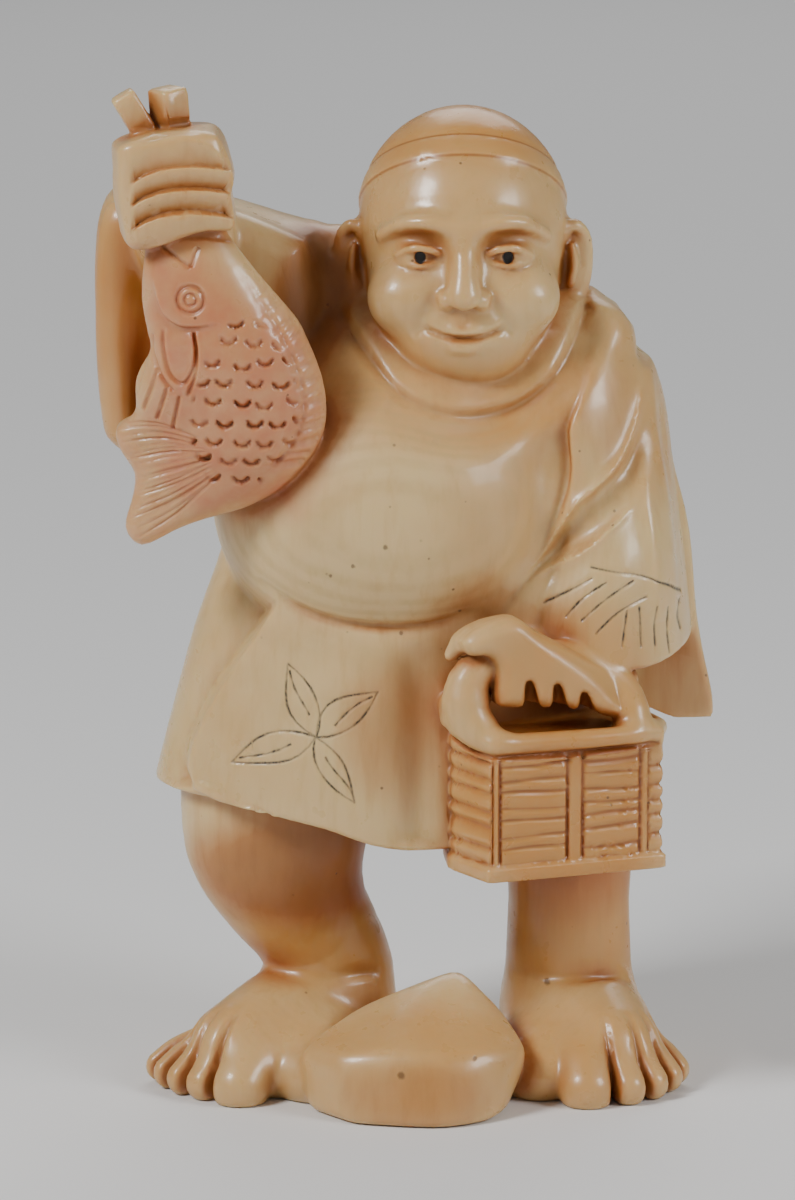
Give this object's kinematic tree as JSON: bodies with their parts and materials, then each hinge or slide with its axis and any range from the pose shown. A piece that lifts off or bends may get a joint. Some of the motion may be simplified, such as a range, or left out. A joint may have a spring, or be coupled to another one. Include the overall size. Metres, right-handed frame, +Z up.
{
  "type": "carved ivory netsuke of a standing fisherman",
  "caption": "Small carved ivory toggle figure: a stout standing man in an open jacket holds up a fish on a cord and a lunch basket, bare feet either side of a rock.",
  "frame": {"origin": "on the ground, below the middle of the figure's bounding box", "axes": "+Z up, +X to the right as the viewer faces the figure, the figure looks towards -Y"},
  "size_m": [0.0324, 0.021, 0.0535],
  "materials": {
    "ivory": null
  },
  "bodies": {
    "root": {"figure": "ivory"}
  },
  "joints": []
}
